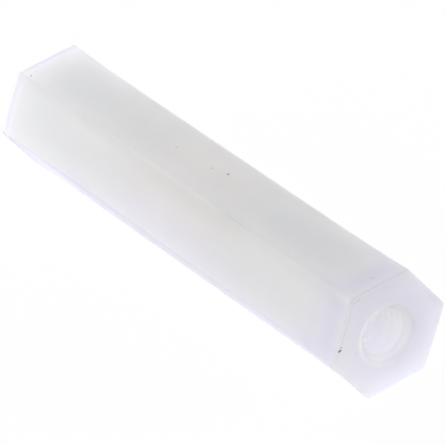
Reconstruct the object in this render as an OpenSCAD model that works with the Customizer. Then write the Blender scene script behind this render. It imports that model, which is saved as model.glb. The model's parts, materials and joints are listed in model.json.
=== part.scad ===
// Hexagonal spacer moulded in natural nylon, with a threaded hole in each end.
// It lies along X on one of its flats: the origin is under its middle, at the bottom.

/* [Body] */
// Width between two opposite flats
across_flats = 6; // [5.5:0.1:8]
// Length from one end face to the other
body_length = 30; // [26:1:60]
// Radius of the six long edges
long_edge_r = 0.25; // [0.2:0.05:0.5]
// Radius of the edge around each end face
end_edge_r = 0.2; // [0.1:0.05:0.4]

/* [Threaded holes] */
// Diameter of the screw that the thread takes
screw_d = 3; // [2.5:0.1:3.5]
// Depth of the thread, from its crests to its roots
thread_height = 0.23; // [0.15:0.01:0.3]
// Depth of the round wall, from the end face to where the tip begins
hole_depth = 10; // [4:0.5:11]
// Angle across the cone at the bottom of each hole
tip_angle = 118; // [90:2:150]
// Gap between the screw and the rim of the countersink
mouth_clearance = 0.15; // [0.05:0.05:0.3]
// Angle across the countersink
mouth_angle = 90; // [60:5:120]

/* [Hidden] */

natural_nylon = [0.87, 0.87, 0.86];
sides = 6;
sector = 360 / sides;
// The long edges turn about lines that run inside the corners
edge_line_r = (across_flats / 2 - long_edge_r) / cos(sector / 2);
bore_r = screw_d / 2 - thread_height;
tip_h = bore_r / tan(tip_angle / 2);
mouth_r = screw_d / 2 + mouth_clearance;
mouth_h = (mouth_r - bore_r) / tan(mouth_angle / 2);
// Cutters run this far past the end faces
past = 1;
$fn = 96;

// Rectangle with its four corners rounded, centred
module rounded_rectangle(w, h, r) {
    square([w - 2 * r, h], center = true);
    square([w, h - 2 * r], center = true);
    for (x = [-1, 1], y = [-1, 1])
        translate([x * (w / 2 - r), y * (h / 2 - r)]) circle(r);
}

// Slab between two opposite flats, with the ends of both rounded over
module flat_pair() {
    rotate([90, 0, 0])
        linear_extrude(2 * across_flats, center = true)
            rounded_rectangle(body_length, across_flats, end_edge_r);
}

// What rounding takes off one long edge: the sharp corner outside a round bar
module corner_waste() {
    reach = long_edge_r + past;
    linear_extrude(body_length + 2 * past, center = true)
        difference() {
            polygon([
                [0, 0],
                reach * [cos(sector / 2), sin(sector / 2)],
                reach * [cos(sector / 2), -sin(sector / 2)]
            ]);
            circle(long_edge_r);
        }
}

module hexagonal_bar() {
    difference() {
        intersection_for(i = [0 : sides / 2 - 1])
            rotate([i * sector, 0, 0]) flat_pair();
        for (i = [0 : sides - 1])
            rotate([(i + 0.5) * sector, 0, 0])
                translate([0, 0, edge_line_r]) rotate([0, -90, 0]) corner_waste();
    }
}

// The hole in the end that faces +X: round wall, conical tip and countersunk mouth
module threaded_hole() {
    translate([body_length / 2, 0, 0])
        rotate([0, -90, 0])
            rotate_extrude()
                polygon([
                    [0, -past],
                    [mouth_r, -past],
                    [mouth_r, 0],
                    [bore_r, mouth_h],
                    [bore_r, hole_depth],
                    [0, hole_depth + tip_h]
                ]);
}

module hex_standoff() {
    color(natural_nylon)
        translate([0, 0, across_flats / 2])
            difference() {
                hexagonal_bar();
                threaded_hole();
                mirror([1, 0, 0]) threaded_hole();
            }
}

hex_standoff();
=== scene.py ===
"""Looks of the natural nylon hex standoff: the moulded bar, its plastic, the white studio and the camera.

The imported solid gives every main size. Its node is replaced by one closed mesh with the same form,
which adds what moulding leaves: sunk flats, soft edges, and the thread in each hole.
"""

import json
import math

import bpy
from mathutils import Matrix, Vector


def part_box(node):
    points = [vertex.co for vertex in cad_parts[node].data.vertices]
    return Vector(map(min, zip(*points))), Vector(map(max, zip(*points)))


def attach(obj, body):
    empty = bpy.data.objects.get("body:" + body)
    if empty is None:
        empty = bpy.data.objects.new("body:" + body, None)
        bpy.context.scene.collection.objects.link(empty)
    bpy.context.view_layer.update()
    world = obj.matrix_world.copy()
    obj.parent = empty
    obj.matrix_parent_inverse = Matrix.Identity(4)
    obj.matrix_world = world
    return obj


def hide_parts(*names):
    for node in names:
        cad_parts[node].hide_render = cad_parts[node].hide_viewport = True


MM = 0.001

# ---- The thread and the edges, which the solid has in plain form (millimetres, and degrees for the tip) ----
THREAD_PITCH = 0.5
THREAD_HEIGHT = 0.09
RUN_OUT_TURNS = 2
WALL_PAST_THREAD = 0.38
MOUTH_REACH = 0.46
MOUTH_DEPTH = 0.15
RING_REACH = 0.2
RING_DEPTH = 0.27
CREST_IN = 0.05
TIP_HALF_ANGLE = 59.0
CORNER_R = (0.25, 0.16, 0.16, 0.25, 0.24, 0.16)
SHARPEST_R = 0.03
END_EDGE_R = 0.12

# ---- How the cooling plastic drew in (millimetres, and degrees round the axis from +Y towards +Z) ----
SINK_DEPTH = 0.1
SINK_REACH = 2.2
SLUMP_DEPTH = 0.11
SLUMP_REACH = 0.6
SLUMP_SIDE = 240
GATE_X = 4.9
GATE_REACH = 1.1
GATE_DEPTH = 0.05
GATE_SIDE = 120
GATE_NARROWNESS = 24

# ---- How fine the mesh is ----
SIDES = 6
ARC_STEPS = 8
FLAT_STOPS = (0.0, 0.012, 0.05, 0.12, 0.22, 0.34, 0.45, 0.55, 0.66, 0.78, 0.88, 0.95, 0.988)
RIM_STEPS = 7
BAR_STEP = 0.3
BAR_EASE = 0.25
FACE_STOPS = (0.03, 0.1, 0.25, 0.45, 0.65, 0.85, 1.0)
MOUTH_STEPS = 14
ROWS_PER_TURN = 10
TIP_STEPS = 5

# ---- The nylon's colours, with painted cool light and painted light for the holes, and its marks in millimetres from the bar's middle ----
THICK_NYLON = (0.862, 0.846, 0.822, 1)
# Painted cool light: this bluer colour stands in for cool light shining through the ends and the lower flats.
COOL_LIT_NYLON = (0.828, 0.812, 0.985, 1)
# Painted light: this near-white colour in the holes stands in for light shining through their walls.
HOLE_LIT_NYLON = (0.985, 0.98, 1.0, 1)
SPECK = (0.03, 0.03, 0.03, 1)
# A darker patch along the ridge over the bar's middle, and another round the gate dent.
DARK_PATCH_PLACE = (1.2, -1.75, 2.9)
DARK_PATCH_REACH = (5.0, 1.0, 1.0)
GATE_PLACE = (4.6, -1.75, 2.9)
GATE_SPREAD = (1.4, 0.6, 0.6)
# Each speck: its place, its reach along x, y and z, and how dark it is.
SPECKS = (
    ((15.0, -2.86, 0.59), (0.1, 0.12, 0.07), 0.8),
    ((15.0, -2.76, 0.74), (0.07, 0.08, 0.05), 0.35),
    ((15.0, -1.6, 2.79), (0.1, 0.12, 0.06), 0.1),
    ((15.0, -1.38, 2.82), (0.1, 0.14, 0.06), 0.14),
    ((-14.02, -1.5, 2.97), (0.08, 0.06, 0.07), 0.45),
    ((-14.2, -1.06, 2.97), (0.07, 0.05, 0.05), 0.2),
    ((1.41, 0.44, 2.9), (0.1, 0.08, 0.07), 0.5),
    ((-2.62, 0.02, 2.9), (0.08, 0.08, 0.07), 0.18),
    ((0.33, 0.17, 2.9), (0.08, 0.07, 0.07), 0.22),
    ((14.2, 0.1, 2.98), (0.09, 0.13, 0.07), 0.12),
    ((15.0, -1.97, -0.08), (0.07, 0.11, 0.11), 0.05),
)
SPECK_EDGE = (0.2, 0.7)

# ---- Where the nylon's look changes: where each change begins and where it is whole (millimetres) ----
# In from either end face.
FACE_SKIN = (END_EDGE_R, 0.02)
BELOW_RING = (0.3, 0.6)
COOL_END = (5.0, -0.3)
PAST_MOUTH = (0.7, 2.2)
PAST_RIM = (0.4, 2.0)
LIP_DEPTH = (0.25, 0.1)
BAND_DEPTH = (0.16, 0.1)
FIRST_TURN_TOP = (0.2, 0.3)
FIRST_TURN_FOOT = (0.7, 0.5)
# In from the +X end face, and then in from the -X one.
NEAR_RIM_DEPTH = (4.6, 1.8)
FAR_RIM_DEPTH = (0.7, 0.1)
FAR_GLOW_DEPTH = (0.2, 0.6)
FAR_TOP_DEPTH = (0.3, 1.0)
# Out from the bar's middle towards either end.
COOL_OUTWARD = (3.0, 9.0)
PAST_TIP = (2.5, 7.5)
INLAND = (11.0, 6.0)
# Along x.
NEAR_TOP_X = (0.0, 4.0)
BAND_X = (0.0, 1.0)
BROAD_RIDGE_X = (6.5, 10.0)
UNDER_RIDGE_X = (-5.0, -1.0)
FAR_DOWN_X = (2.0, -9.0)
FAR_GLOW_X = (-8.0, -12.5)
FAR_TOP_X = (-9.5, -12.5)
FAR_END_X = (-11.5, -14.0)
# Up z.
COOL_LOW_Z = (2.4, -0.8)
TOP_FLAT_Z = (2.8, 2.87)
ON_TOP_Z = (2.88, 2.95)
TURNED_DOWN_Z = (0.1, -0.12)
# Out from the axis, and then out from the thread's throat.
MID_FACE_R = (3.38, 3.08)
HOLE_EDGE = (0.14, -0.12)
# In from the flats.
FAR_RIM_INSET = (0.6, 0.2)
BAND_INSET = (0.16, 0.1)
TURNED_DOWN_INSET = (0.6, 0.35)
FACE_EDGE_INSET = (0.55, 0.0)
# Down the end face and towards +Y, where LOW_RIGHT_LEAN is the part of y.
LOW_RIGHT_LEAN = 0.6
LOW_RIGHT = (-0.2, 1.6)
# Towards the hole's upper left, from 0 to 1.
LIP_LEFT = (0.5, 0.95)
LIP_FAR_LEFT = (0.84, 0.98)

# ---- Soft painted lines of light and shade on the nylon: the middle and width of each (millimetres, and radians round the axis) ----
LIP_RADIUS = (1.66, 0.28)
FIRST_TURN_RADIUS = (1.23, 0.08)
BESIDE_RIDGE_Y = (-1.5, 0.5)
BESIDE_FAR_EDGE_Y = (1.6, 1.2)
FACE_LINE_INSET = (0.21, 0.1)
FACE_LINE_ANGLE = (math.radians(155), 1.2)
RIDGE = 2 * math.pi / 3
RIDGE_ANGLE = (RIDGE + 0.012, 0.05)
BROAD_RIDGE_ANGLE = (RIDGE + 0.03, 0.11)
UNDER_RIDGE_ANGLE = (RIDGE + 0.15, 0.26)

# ---- How much each change does, by the name of its mask; most are painted light or painted shade ----
# Painted cool light: how much of the bluer colour goes on the ends, the lower flats and the end faces.
PAINTED_COOL_LIGHT = {"near_end": 0.75, "low_down": 0.9, "on_face": 0.8}
# Painted light: each of these lightens the colour where light falls on the nylon or shines through it.
PAINTED_LIGHT = {
    "thin_wall": 0.08,
    "in_middle": 0.02,
    "far_glow": 0.11,
    "far_glow_on_top": 0.03,
    "near_top": 0.045,
    "lip": 0.04,
    "lip_left": 0.08,
    "lip_far_left": 0.06,
    "ridge": 0.025,
    "band": 0.07,
    "broad_ridge": 0.04,
}
# Painted shade, apart from cloud, a random mottle, and the two darker patches on the ridge.
DARKER = {
    "near_rim": 0.06,
    "face_line": 0.09,
    "face_edge": 0.08,
    "dark_patch": 0.04,
    "gate": 0.03,
    "beside_ridge": 0.045,
    "beside_far_edge": 0.09,
    "under_ridge": 0.03,
    "turned_down": 0.07,
    "far_down": 0.07,
    "far_rim": 0.22,
    "cloud": 0.015,
    "across": 0.025,
}
LESS_SCATTER = {"turned_down": 0.1, "far_down": 0.3, "beside_far_edge": 0.12}
# Painted shade: how much greyer the thread's first turn is made.
FIRST_TURN_SHADE = 0.25
MIDDLE_COOLNESS = 0.6
# How much of the hole's painted light and deeper scatter the ring at the mouth takes.
RING_HOLE_SHARE = 0.55

# ---- Scatter, gloss and fine relief of the nylon (reaches in millimetres, noises as scale and detail) ----
SCATTER_REACH = 3.0
SCATTER_REACH_CHANGES = {"in_hole": 14.0, "thin_wall": -1.0, "far_end": -0.8, "far_top": 2.2}
SCATTER_RGB = (1.0, 0.97, 1.0)
NYLON_IOR = 1.53
ROUGHNESS = 0.36
ROUGHNESS_SPREAD = 0.12
ROUGHNESS_NOISE = (3.0, 4.0)
RIPPLE_STRENGTH = 0.25
RIPPLE_HEIGHT = 0.02
RIPPLE_NOISE = (2.2, 3.0)
CLOUD_NOISE = (0.45, 2.0)
CLOUD_EDGE = (0.3, 0.7)

# ---- The table, in millimetres. Levels are shares of full white ----
FLOOR_GAP = 0.02
PAPER = (0.5, 0.5, 0.5, 1)
GLOW_COLOUR = (0.935, 0.94, 1, 1)
GLOW_LEVEL = 0.597
GLOW_BEYOND = 0.1
GLOW_PAST_FAR_END = 0.13
GLOW_SOFT_R = 4
GLOW_UNDER = 0.722
UNDER_HALF_LENGTH = 13
UNDER_REACH = 5
SEEN_LEVEL = 0.955
SEEN_SHADE = (0.07, 0.07, 0.07, 1)

# ---- The light. Each lamp: name, azimuth, elevation, width in widths of the bar, level and colour ----
AMBIENT = 0.235
WHITE = (1, 1, 1)
STUDIO_REACH = 60
LAMPS = (
    ("light_left", -40, 8, 50, 0.525, WHITE),
    ("light_far", 262, 20, 50, 0.63, (0.94, 0.95, 1)),
    ("light_right", 150, 5, 50, 0.41, WHITE),
    ("light_end", 125, 0, 40, 0.28, WHITE),
    ("light_front", 62, 5, 40, 0.245, WHITE),
)

# ---- Camera: degrees, lengths in widths of the bar, and the lens and sensor in millimetres ----
VIEW_AZIMUTH = 61.22
VIEW_ELEVATION = 33.96
VIEW_ROLL = -10.77
VIEW_DISTANCE = 40.2
VIEW_RIGHT = 0.0658
VIEW_UP = -0.0659
VIEW_REACH = 1000
VIEW_LENS = 385.9
SENSOR_WIDTH = 36


def sizes_from_frame(frame):
    """The bar's sizes in metres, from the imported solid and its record."""
    low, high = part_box("hex_standoff")
    mounts = {m["name"]: m for m in frame["record"]["mounts"]}
    hole = mounts["thread_plus_x"]["dims"]
    flats = high.z - low.z
    return {
        "half_length": (high.x - low.x) / 2,
        "half_flats": flats / 2,
        "flats": flats,
        "centre": Vector(((low.x + high.x) / 2, (low.y + high.y) / 2, low.z + flats / 2)),
        "floor_z": low.z,
        "crest_r": hole["r_mm"] * MM,
        "thread_length": hole["length_mm"] * MM,
    }


# ---------------------------------------------------------------- the bar's mesh


def hexagon_outline(half_flats, inset):
    """Points round a hexagon with rounded corners, anticlockwise seen from +X: y, z, normal y, normal z."""
    radii = [max(radius * MM - inset, SHARPEST_R * MM) for radius in CORNER_R]
    half_flats = half_flats - inset
    half_turn = math.pi / SIDES
    points = []
    for side in range(SIDES):
        radius = radii[side]
        corner = side * 2 * half_turn
        to_centre = (half_flats - radius) / math.cos(half_turn)
        centre_y = to_centre * math.cos(corner)
        centre_z = to_centre * math.sin(corner)
        for step in range(ARC_STEPS):
            turn = corner + (step / ARC_STEPS - 0.5) * 2 * half_turn
            normal = (math.cos(turn), math.sin(turn))
            points.append((centre_y + radius * normal[0], centre_z + radius * normal[1], *normal))
        turn = corner + half_turn
        normal = (math.cos(turn), math.sin(turn))
        along = (-normal[1], normal[0])
        start_y = centre_y + radius * normal[0]
        start_z = centre_z + radius * normal[1]
        both_arcs = radius + radii[(side + 1) % SIDES]
        flat_length = (2 * half_flats - both_arcs) * math.tan(half_turn)
        for stop in FLAT_STOPS:
            reach = stop * flat_length
            points.append((start_y + reach * along[0], start_z + reach * along[1], *normal))
    return points


def facing(normal_y, normal_z, side):
    """How much a normal points to a side, in degrees round the axis: 1 for wholly, 0 for not at all."""
    turn = math.radians(side)
    return max(normal_y * math.cos(turn) + normal_z * math.sin(turn), 0)


def sink(x, normal_y, normal_z, size):
    """How far the skin lies inside the nominal form at this place along the bar."""
    from_end = max(size["half_length"] - END_EDGE_R * MM - abs(x), 0)
    drawn = SINK_DEPTH * MM * (1 - math.exp(-from_end / (SINK_REACH * MM)))
    slump = min(max(x / size["half_length"], 0), 1) * (1 - math.exp(-from_end / (SLUMP_REACH * MM)))
    drawn += SLUMP_DEPTH * MM * facing(normal_y, normal_z, SLUMP_SIDE) ** 2 * slump
    near_gate = math.exp(-(((x - GATE_X * MM) / (GATE_REACH * MM)) ** 2))
    return drawn + GATE_DEPTH * MM * near_gate * facing(normal_y, normal_z, GATE_SIDE) ** GATE_NARROWNESS


def bar_stations(size):
    """Places along the bar for its rings, and how far each lies inside the outline, from +X to -X."""
    rim = END_EDGE_R * MM
    end = size["half_length"]
    quarter = [math.pi / 2 * (1 - k / RIM_STEPS) for k in range(RIM_STEPS + 1)]
    near = [(end - rim * (1 - math.sin(a)), rim * (1 - math.cos(a))) for a in quarter]
    straight = 2 * (end - rim)
    count = round(straight / (BAR_STEP * MM))
    middle = []
    for k in range(1, count):
        share = k / count
        eased = 0.5 - 0.5 * math.cos(math.pi * share)
        middle.append(((end - rim) - straight * ((1 - BAR_EASE) * share + BAR_EASE * eased), 0.0))
    far = [(-x, inset) for x, inset in reversed(near)]
    return near + middle + far


def wall_depth(size):
    """Where a hole's wall ends and its drill tip begins."""
    return size["thread_length"] + WALL_PAST_THREAD * MM


def mouth_radius(depth, size):
    """The hole's entry without its thread: a shallow trumpet, then a flatter ring down to the thread."""
    deep = MOUTH_DEPTH * MM
    if depth < deep:
        return size["crest_r"] + (MOUTH_REACH - (MOUTH_REACH - RING_REACH) * math.sqrt(depth / deep)) * MM
    past = (depth - deep) / (RING_DEPTH * MM)
    return size["crest_r"] + (RING_REACH - (RING_REACH + CREST_IN) * past) * MM


def thread_radius(depth, turn, size):
    """Radius of a hole's wall at this depth below the end face and this angle round the axis."""
    crest = size["crest_r"] - CREST_IN * MM
    pitch = THREAD_PITCH * MM
    wave = 0.5 + 0.5 * math.cos(2 * math.pi * (depth / pitch - turn / (2 * math.pi) - 0.5))
    run_out = min(max((wall_depth(size) - depth) / (RUN_OUT_TURNS * pitch), 0.0), 1.0)
    return max(mouth_radius(depth, size), crest + THREAD_HEIGHT * MM * wave * run_out)


class Shell:
    """The bar's mesh while it is built: rings with the same number of points, joined by quads."""

    def __init__(self, count):
        self.count = count
        self.verts = []
        self.faces = []

    def add(self, points):
        """Add a ring of points, and say where it starts."""
        start = len(self.verts)
        self.verts.extend(points)
        return start

    def face(self, corners, flip):
        self.faces.append(corners[::-1] if flip else corners)

    def bridge(self, first, second, flip=False):
        """Join two rings."""
        for k in range(self.count):
            after = (k + 1) % self.count
            self.face((first + k, first + after, second + after, second + k), flip)

    def close(self, ring, tip, flip):
        """Join a ring to one point."""
        for k in range(self.count):
            self.face((ring + k, ring + (k + 1) % self.count, tip), flip)


def build_bar(size):
    """One closed mesh: skin, rounded rims, end faces, countersinks, threads and hole bottoms."""
    outline = hexagon_outline(size["half_flats"], 0.0)
    turns = [math.atan2(z, y) for y, z, _, _ in outline]
    centre = size["centre"]
    shell = Shell(len(outline))
    rings = []
    for x, inset in bar_stations(size):
        ring = []
        for y, z, normal_y, normal_z in hexagon_outline(size["half_flats"], inset):
            depth = sink(x, normal_y, normal_z, size)
            ring.append((x, centre.y + y - normal_y * depth, centre.z + z - normal_z * depth))
        rings.append(shell.add(ring))
    for first, second in zip(rings, rings[1:]):
        shell.bridge(second, first)
    for end, rim in ((1, rings[0]), (-1, rings[-1])):
        build_end(shell, end, rim, turns, size)

    mesh = bpy.data.meshes.new("standoff_bar")
    mesh.from_pydata(shell.verts, [], shell.faces)
    mesh.validate()
    mesh.polygons.foreach_set("use_smooth", [True] * len(mesh.polygons))
    mesh.update()
    bar = bpy.data.objects.new("standoff_bar", mesh)
    bpy.context.collection.objects.link(bar)
    return bar


def build_end(shell, end, rim, turns, size):
    """The flat face at one end, its mouth and the hole behind it. end is 1 at +X and -1 at -X."""
    centre = size["centre"]
    face_x = end * size["half_length"]
    flip = end < 0

    def circle(depth, radius_at):
        ring = []
        for turn in turns:
            radius = radius_at(turn)
            y = centre.y + radius * math.cos(turn)
            z = centre.z + radius * math.sin(turn)
            ring.append((face_x - end * depth, y, z))
        return ring

    def extend(last, ring):
        fresh = shell.add(ring)
        shell.bridge(last, fresh, flip)
        return fresh

    last = rim
    hexagon = shell.verts[rim : rim + shell.count]
    edge = circle(0.0, lambda turn: mouth_radius(0.0, size))
    for stop in FACE_STOPS:
        last = extend(last, [tuple(a + (b - a) * stop for a, b in zip(h, c)) for h, c in zip(hexagon, edge)])

    mouth = MOUTH_DEPTH * MM
    row = THREAD_PITCH * MM / ROWS_PER_TURN
    wall_end = wall_depth(size)
    rows = int((wall_end - mouth) / row)
    depths = [mouth * (step / MOUTH_STEPS) ** 2 for step in range(1, MOUTH_STEPS)]
    depths += [mouth + k * row for k in range(rows + 1)]
    for depth in depths:
        last = extend(last, circle(depth, lambda turn: thread_radius(depth, end * turn, size)))

    throat = size["crest_r"] - CREST_IN * MM
    tip_depth = throat / math.tan(math.radians(TIP_HALF_ANGLE))
    for step in range(TIP_STEPS):
        share = step / TIP_STEPS
        last = extend(last, circle(wall_end + tip_depth * share, lambda turn: throat * (1 - share)))
    tip = shell.add([(face_x - end * (wall_end + tip_depth), centre.y, centre.z)])
    shell.close(last, tip, flip)


# ---------------------------------------------------------------- materials


class Graph:
    """Short ways to add nodes to one new node tree. A value is a number or another node's socket."""

    def __init__(self, owner):
        owner.use_nodes = True
        self.tree = owner.node_tree
        self.tree.nodes.clear()

    def node(self, kind, **settings):
        made = self.tree.nodes.new(kind)
        for key, value in settings.items():
            setattr(made, key, value)
        return made

    def put(self, socket, value):
        if isinstance(value, bpy.types.NodeSocket):
            self.tree.links.new(value, socket)
        else:
            socket.default_value = value

    def result(self, made, *values, **named):
        """A node's first output, after its inputs are given these values in turn, or by name."""
        for socket, value in zip(made.inputs, values):
            self.put(socket, value)
        for name, value in named.items():
            self.put(made.inputs[name], value)
        return made.outputs[0]

    def math(self, operation, *values):
        return self.result(self.node("ShaderNodeMath", operation=operation), *values)

    def vector(self, operation, *values, **named):
        return self.result(self.node("ShaderNodeVectorMath", operation=operation), *values, **named)

    def output_of(self, kind, *values, **named):
        return self.result(self.node(kind), *values, **named)

    def plus(self, first, *others):
        for other in others:
            first = self.math("ADD", first, other)
        return first

    def times(self, first, *others):
        for other in others:
            first = self.math("MULTIPLY", first, other)
        return first

    def less(self, first, second):
        return self.math("SUBTRACT", first, second)

    def square(self, value):
        return self.math("POWER", value, 2.0)

    def unsigned(self, value):
        return self.math("ABSOLUTE", value)

    def weighed(self, masks, shares):
        """The sum of the named masks, each times its share."""
        return self.plus(*[self.times(masks[name], share) for name, share in shares.items()])

    def either(self, first, second):
        """Two masks laid over each other."""
        return self.less(self.plus(first, second), self.times(first, second))

    def ramp(self, value, start, end):
        """0 at start, 1 at end, and smooth between them."""
        made = self.node("ShaderNodeMapRange", interpolation_type="SMOOTHSTEP")
        return self.result(made, **{"Value": value, "From Min": start, "From Max": end})

    def bell(self, value):
        """1 where the value is 0, and falling off on both sides."""
        return self.math("EXPONENT", self.times(self.square(value), -1.0))

    def line(self, value, place, width):
        """1 where value is at place, falling off as a soft line this wide."""
        return self.bell(self.math("DIVIDE", self.less(value, place), width / 2))

    def near(self, place, centre, stretch):
        """1 at centre and falling off round it. stretch is the reach along x, y and z."""
        away = self.vector("DIVIDE", self.vector("SUBTRACT", place, centre), stretch)
        length = self.node("ShaderNodeVectorMath", operation="LENGTH")
        self.put(length.inputs[0], away)
        return self.bell(length.outputs["Value"])

    def axes(self, place):
        """The x, y and z of a place."""
        split = self.node("ShaderNodeSeparateXYZ")
        self.put(split.inputs[0], place)
        return split.outputs

    def noise(self, place, scale, detail):
        return self.result(self.node("ShaderNodeTexNoise"), Vector=place, Scale=scale, Detail=detail)

    def mix(self, share, first, second):
        """A blend of two colours."""
        made = self.node("ShaderNodeMix", data_type="RGBA")
        for number, value in ((0, share), (6, first), (7, second)):
            self.put(made.inputs[number], value)
        return made.outputs[2]

    def blend(self, share, first, second):
        """A blend of two numbers."""
        made = self.node("ShaderNodeMix", data_type="FLOAT")
        for number, value in ((0, share), (2, first), (3, second)):
            self.put(made.inputs[number], value)
        return made.outputs[0]

    def finish(self, kind, shader):
        """End the tree with an output node of this kind."""
        self.put(self.node(kind).inputs["Surface"], shader)


def new_material(name):
    material = bpy.data.materials.new(name)
    return material, Graph(material)


class BarPlace:
    """Where a point of the bar is, as sockets: millimetres from the bar's middle, its ends and its flats."""

    def __init__(self, g, size):
        point = g.node("ShaderNodeTexCoord").outputs["Object"]
        self.point = g.vector("SCALE", g.vector("SUBTRACT", point, size["centre"]), Scale=1 / MM)
        self.x, self.y, self.z = g.axes(self.point)
        half_length = size["half_length"] / MM
        self.half_flats = size["half_flats"] / MM
        self.outward = g.unsigned(self.x)
        self.from_end = g.less(half_length, self.outward)
        self.from_near_end = g.less(half_length, self.x)
        self.from_far_end = g.plus(self.x, half_length)
        self.radius = g.math("SQRT", g.plus(g.square(self.y), g.square(self.z)))
        self.past_throat = g.less(self.radius, size["crest_r"] / MM + RING_REACH)
        self.angle = g.math("ARCTAN2", self.z, self.y)
        lean_y = g.times(self.y, math.sin(math.pi / 3))
        lean_z = g.times(self.z, math.cos(math.pi / 3))
        leftward = g.less(lean_z, lean_y)
        self.to_left = g.math("DIVIDE", leftward, self.radius)
        sides = g.math("MAXIMUM", g.unsigned(g.plus(lean_y, lean_z)), g.unsigned(leftward))
        self.from_flats = g.less(self.half_flats, g.math("MAXIMUM", sides, g.unsigned(self.z)))


def nylon_masks(g, at):
    """Where the nylon's look changes, by name, mostly painted light and painted shade: 1 where a change is
    whole, 0 where there is none.
    """
    on_face = g.ramp(at.from_end, *FACE_SKIN)
    on_skin = g.less(1.0, on_face)
    on_top = g.ramp(at.z, *ON_TOP_Z)
    top_flat = g.ramp(at.z, *TOP_FLAT_Z)
    mid_face = g.ramp(at.radius, *MID_FACE_R)
    inland = g.ramp(at.outward, *INLAND)
    below_ring = g.ramp(at.from_end, *BELOW_RING)
    cool_outward = g.ramp(at.outward, *COOL_OUTWARD)
    # Painted light over the holes, where light shines through the thin walls.
    thin_wall = g.times(g.ramp(at.outward, *PAST_TIP), g.ramp(at.from_end, *PAST_MOUTH), mid_face)
    # Painted light: a glow towards the far end, stopping short of the end face.
    far_glow = g.times(g.ramp(at.x, *FAR_GLOW_X), g.ramp(at.from_far_end, *FAR_GLOW_DEPTH))
    far_top = g.times(g.ramp(at.x, *FAR_TOP_X), g.ramp(at.from_far_end, *FAR_TOP_DEPTH), on_top)
    # Painted light: a lighter ring round each mouth, lightest towards the upper left.
    lip = g.times(g.line(at.radius, *LIP_RADIUS), g.ramp(at.from_end, *LIP_DEPTH))
    # Painted light on the rounded rim of the +X end face; painted shade as a line just inside the end faces'
    # rim on the upper -Y side, and near their edges towards +Y and down.
    at_band = g.times(g.ramp(at.from_end, *BAND_DEPTH), g.ramp(at.from_flats, *BAND_INSET))
    low_right = g.ramp(g.less(g.times(at.y, LOW_RIGHT_LEAN), at.z), *LOW_RIGHT)
    at_face_line = g.times(g.line(at.from_flats, *FACE_LINE_INSET), g.line(at.angle, *FACE_LINE_ANGLE))
    # Painted highlight in a broad band on the ridge, and painted shade just under the ridge, both towards +X.
    at_broad_ridge = g.times(g.line(at.angle, *BROAD_RIDGE_ANGLE), g.ramp(at.x, *BROAD_RIDGE_X))
    at_under_ridge = g.times(g.line(at.angle, *UNDER_RIDGE_ANGLE), g.ramp(at.x, *UNDER_RIDGE_X))
    # Painted shade on the lower flats, more towards the far end.
    low_flats = g.times(g.ramp(at.z, *TURNED_DOWN_Z), g.ramp(at.from_flats, *TURNED_DOWN_INSET))
    turned_down = g.times(low_flats, on_skin)
    at_turn = g.times(g.ramp(at.from_end, *FIRST_TURN_TOP), g.ramp(at.from_end, *FIRST_TURN_FOOT))
    return {
        "on_face": on_face,
        # Painted cool light at the ends and low down.
        "near_end": g.ramp(at.from_end, *COOL_END),
        "low_down": g.times(g.ramp(at.z, *COOL_LOW_Z), g.blend(cool_outward, MIDDLE_COOLNESS, 1.0)),
        # Where the holes take their painted light and deeper scatter.
        "in_hole": g.times(g.ramp(at.past_throat, *HOLE_EDGE), g.blend(below_ring, RING_HOLE_SHARE, 1.0)),
        # Painted shade: a greyer ring at the thread's first turn.
        "first_turn_shade": g.times(g.line(at.radius, *FIRST_TURN_RADIUS), at_turn),
        "thin_wall": thin_wall,
        # Painted light in the middle of each flat, away from the ends.
        "in_middle": g.times(mid_face, g.ramp(at.from_end, *PAST_RIM)),
        "far_glow": far_glow,
        "far_glow_on_top": g.times(far_glow, on_top),
        "far_top": far_top,
        "far_end": g.ramp(at.x, *FAR_END_X),
        # Painted light on the top over the +X hole.
        "near_top": g.times(thin_wall, g.ramp(at.x, *NEAR_TOP_X), top_flat),
        "lip": lip,
        "lip_left": g.times(lip, g.ramp(at.to_left, *LIP_LEFT)),
        "lip_far_left": g.times(lip, g.ramp(at.to_left, *LIP_FAR_LEFT)),
        # Painted shade on the skin close to the +X end.
        "near_rim": g.times(g.ramp(at.from_near_end, *NEAR_RIM_DEPTH), on_skin),
        # Painted shade round the far end's outer edge.
        "far_rim": g.times(g.ramp(at.from_far_end, *FAR_RIM_DEPTH), g.ramp(at.from_flats, *FAR_RIM_INSET)),
        "band": g.times(at_band, g.ramp(at.x, *BAND_X)),
        # Painted shade across the end faces: darker towards +Y and +Z.
        "across": g.times(g.plus(at.y, at.z), 1 / at.half_flats, on_face),
        # Darker patches along the ridge, one round the gate dent.
        "dark_patch": g.near(at.point, DARK_PATCH_PLACE, DARK_PATCH_REACH),
        "gate": g.near(at.point, GATE_PLACE, GATE_SPREAD),
        # Painted shade beside the ridge on the top and beside the top's far edge, and a painted highlight on
        # the ridge.
        "beside_ridge": g.times(g.line(at.y, *BESIDE_RIDGE_Y), on_top, inland),
        "beside_far_edge": g.times(g.line(at.y, *BESIDE_FAR_EDGE_Y), top_flat, inland),
        "ridge": g.times(g.line(at.angle, *RIDGE_ANGLE), on_skin),
        "broad_ridge": g.times(at_broad_ridge, on_skin),
        "under_ridge": g.times(at_under_ridge, on_skin),
        "turned_down": turned_down,
        "far_down": g.times(turned_down, g.ramp(at.x, *FAR_DOWN_X)),
        # Painted shade on the end faces near their edges and as a line inside the rim.
        "face_edge": g.times(g.ramp(at.from_flats, *FACE_EDGE_INSET), on_face, low_right),
        "face_line": g.times(at_face_line, on_face),
        "cloud": g.ramp(g.noise(at.point, *CLOUD_NOISE), *CLOUD_EDGE),
    }


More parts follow.
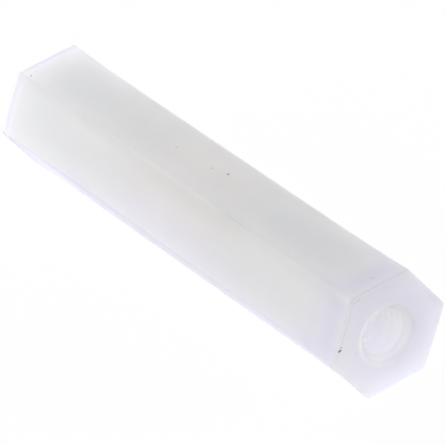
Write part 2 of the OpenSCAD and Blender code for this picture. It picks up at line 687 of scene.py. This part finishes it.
def nylon_colour(g, at, masks):
    """Painted shade makes it greyer where the bar is thick, painted cool light makes it cooler at its ends
    and low down, and painted light makes it near white in the hole. It has dark specks.
    """
    # Painted cool light: the bluer colour is laid on where light shines through.
    cool = 0.0
    for name, share in PAINTED_COOL_LIGHT.items():
        cool = g.either(cool, g.times(masks[name], share))
    colour = g.mix(cool, THICK_NYLON, COOL_LIT_NYLON)
    # Painted light and shade, with a random mottle: the masks make the colour lighter and darker.
    shade = g.less(g.plus(1.0, g.weighed(masks, PAINTED_LIGHT)), g.weighed(masks, DARKER))
    # Painted light: the holes take the near-white colour.
    colour = g.mix(masks["in_hole"], g.vector("SCALE", colour, Scale=shade), HOLE_LIT_NYLON)
    # Painted shade: the first turn of the thread takes some of the greyer colour.
    colour = g.mix(g.times(masks["first_turn_shade"], FIRST_TURN_SHADE), colour, THICK_NYLON)
    specks = 0.0
    for centre, reach, strength in SPECKS:
        spot = g.times(g.ramp(g.near(at.point, centre, reach), *SPECK_EDGE), strength)
        specks = g.math("MAXIMUM", specks, spot)
    return g.mix(specks, colour, SPECK)


def nylon_material(size):
    """Milky nylon. Light scatters deep inside it, deepest round the hole. The lower flats are duller, and
    their colour carries painted shade.
    """
    material, g = new_material("natural_nylon")
    at = BarPlace(g, size)
    masks = nylon_masks(g, at)

    ripple = g.output_of(
        "ShaderNodeBump",
        Strength=RIPPLE_STRENGTH,
        Distance=RIPPLE_HEIGHT * MM,
        Height=g.noise(at.point, *RIPPLE_NOISE),
    )
    reach = g.plus(g.weighed(masks, SCATTER_REACH_CHANGES), SCATTER_REACH)
    inputs = {
        "Base Color": nylon_colour(g, at, masks),
        "Roughness": g.plus(g.times(g.noise(at.point, *ROUGHNESS_NOISE), ROUGHNESS_SPREAD), ROUGHNESS),
        "Normal": ripple,
        "IOR": NYLON_IOR,
        "Subsurface Weight": g.less(1.0, g.weighed(masks, LESS_SCATTER)),
        "Subsurface Radius": SCATTER_RGB,
        "Subsurface Scale": g.times(reach, MM),
    }
    shader = g.node("ShaderNodeBsdfPrincipled", subsurface_method="RANDOM_WALK")
    g.finish("ShaderNodeOutputMaterial", g.result(shader, **inputs))
    return material


def seen_directly(g):
    """1 for what the camera sees, straight or in gloss or through glass, and 0 for light on the object."""
    path = g.node("ShaderNodeLightPath")
    seen = path.outputs["Is Camera Ray"]
    for name in ("Is Glossy Ray", "Is Transmission Ray"):
        seen = g.math("MAXIMUM", seen, path.outputs[name])
    return seen


def glow_level(g):
    """How much the table glows up at the bar: more on the +Y side, past the far end and under the bar."""
    x, y, _ = g.axes(g.node("ShaderNodeTexCoord").outputs["Object"])
    away = g.math("SQRT", g.plus(g.square(x), g.square(y), (GLOW_SOFT_R * MM) ** 2))
    beyond = g.math("DIVIDE", y, away)
    past_far_end = g.math("DIVIDE", x, g.times(away, -1.0))
    around = g.plus(g.times(beyond, GLOW_BEYOND), g.times(past_far_end, GLOW_PAST_FAR_END), GLOW_LEVEL)
    past_end = g.math("MAXIMUM", g.less(g.unsigned(x), UNDER_HALF_LENGTH * MM), 0.0)
    from_bar = g.plus(g.square(past_end), g.square(y))
    under = g.math("EXPONENT", g.math("DIVIDE", from_bar, -((UNDER_REACH * MM) ** 2)))
    return g.blend(under, around, GLOW_UNDER)


def floor_material():
    """A white table that glows up at the bar. It looks plain white from above and clear from below."""
    material, g = new_material("studio_floor")
    seen = seen_directly(g)
    paper = g.output_of("ShaderNodeBsdfDiffuse", Color=PAPER)
    backlight = g.output_of("ShaderNodeEmission", Color=GLOW_COLOUR, Strength=glow_level(g))
    table = g.output_of("ShaderNodeAddShader", paper, backlight)
    glow = g.output_of("ShaderNodeEmission", Strength=SEEN_LEVEL)
    shade = g.output_of("ShaderNodeBsdfDiffuse", Color=SEEN_SHADE)
    white = g.output_of("ShaderNodeAddShader", glow, shade)
    both = g.output_of("ShaderNodeMixShader", seen, table, white)
    from_below = g.node("ShaderNodeNewGeometry").outputs["Backfacing"]
    clear = g.output_of("ShaderNodeBsdfTransparent")
    one_sided = g.output_of("ShaderNodeMixShader", g.times(from_below, seen), both, clear)
    g.finish("ShaderNodeOutputMaterial", one_sided)
    return material


# ---------------------------------------------------------------- studio


def build_floor(size):
    half = STUDIO_REACH * size["flats"]
    z = size["floor_z"] - FLOOR_GAP * MM
    mesh = bpy.data.meshes.new("studio_floor")
    corners = [(-half, -half, z), (half, -half, z), (half, half, z), (-half, half, z)]
    mesh.from_pydata(corners, [], [(0, 1, 2, 3)])
    mesh.materials.append(floor_material())
    floor = bpy.data.objects.new("studio_floor", mesh)
    bpy.context.collection.objects.link(floor)


def build_world():
    """White wherever it is seen, and a dimmer white as light on the bar."""
    world = bpy.data.worlds.new("studio")
    bpy.context.scene.world = world
    g = Graph(world)
    ambient = g.output_of("ShaderNodeBackground", Color=(*WHITE, 1), Strength=AMBIENT)
    white = g.output_of("ShaderNodeBackground", Color=(*WHITE, 1), Strength=1.0)
    g.finish("ShaderNodeOutputWorld", g.output_of("ShaderNodeMixShader", seen_directly(g), ambient, white))


def direction(azimuth, elevation):
    """The way from the bar to this azimuth and elevation in degrees."""
    a = math.radians(azimuth)
    e = math.radians(elevation)
    return Vector((math.sin(a) * math.cos(e), -math.cos(a) * math.cos(e), math.sin(e)))


def build_lamps(size):
    """Square soft lights aimed at the bar. A level is about the share of white that a facing surface gets."""
    distance = STUDIO_REACH * size["flats"]
    for name, azimuth, elevation, width, level, colour in LAMPS:
        towards = direction(azimuth, elevation)
        lamp = bpy.data.lights.new(name, "AREA")
        lamp.shape = "SQUARE"
        lamp.size = width * size["flats"]
        lamp.energy = level * math.pi * math.pi * distance**2
        lamp.color = colour
        box = bpy.data.objects.new(name, lamp)
        box.location = size["centre"] + towards * distance
        box.rotation_mode = "QUATERNION"
        box.rotation_quaternion = towards.to_track_quat("Z", "Y")
        bpy.context.collection.objects.link(box)


def build_camera(size):
    back = direction(VIEW_AZIMUTH, VIEW_ELEVATION)
    azimuth = math.radians(VIEW_AZIMUTH)
    roll = math.radians(VIEW_ROLL)
    level = Vector((math.cos(azimuth), math.sin(azimuth), 0))
    upright = back.cross(level)
    right = math.cos(roll) * level + math.sin(roll) * upright
    up = back.cross(right)
    unit = size["flats"]
    place = size["centre"] + unit * (VIEW_DISTANCE * back + VIEW_RIGHT * right + VIEW_UP * up)
    camera = bpy.data.cameras.new("camera")
    camera.sensor_width = SENSOR_WIDTH
    camera.lens = VIEW_LENS
    camera.clip_start = unit
    camera.clip_end = VIEW_REACH * unit
    obj = bpy.data.objects.new("camera", camera)
    matrix = Matrix((right, up, back)).transposed().to_4x4()
    matrix.translation = place
    obj.matrix_world = matrix
    bpy.context.collection.objects.link(obj)
    bpy.context.scene.camera = obj


# ---------------------------------------------------------------- the scene

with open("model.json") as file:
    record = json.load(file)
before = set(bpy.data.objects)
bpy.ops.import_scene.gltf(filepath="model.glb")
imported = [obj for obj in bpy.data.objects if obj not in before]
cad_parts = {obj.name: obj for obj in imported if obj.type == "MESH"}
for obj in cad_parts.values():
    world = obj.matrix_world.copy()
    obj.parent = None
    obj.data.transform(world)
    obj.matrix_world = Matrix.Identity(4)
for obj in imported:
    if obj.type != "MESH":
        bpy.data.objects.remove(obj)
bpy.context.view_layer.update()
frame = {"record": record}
size = sizes_from_frame(frame)

bar = build_bar(size)
bar.data.materials.append(nylon_material(size))
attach(bar, "root")
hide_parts("hex_standoff")

build_floor(size)
build_world()
build_lamps(size)
build_camera(size)
bpy.context.scene.view_settings.view_transform = "Standard"
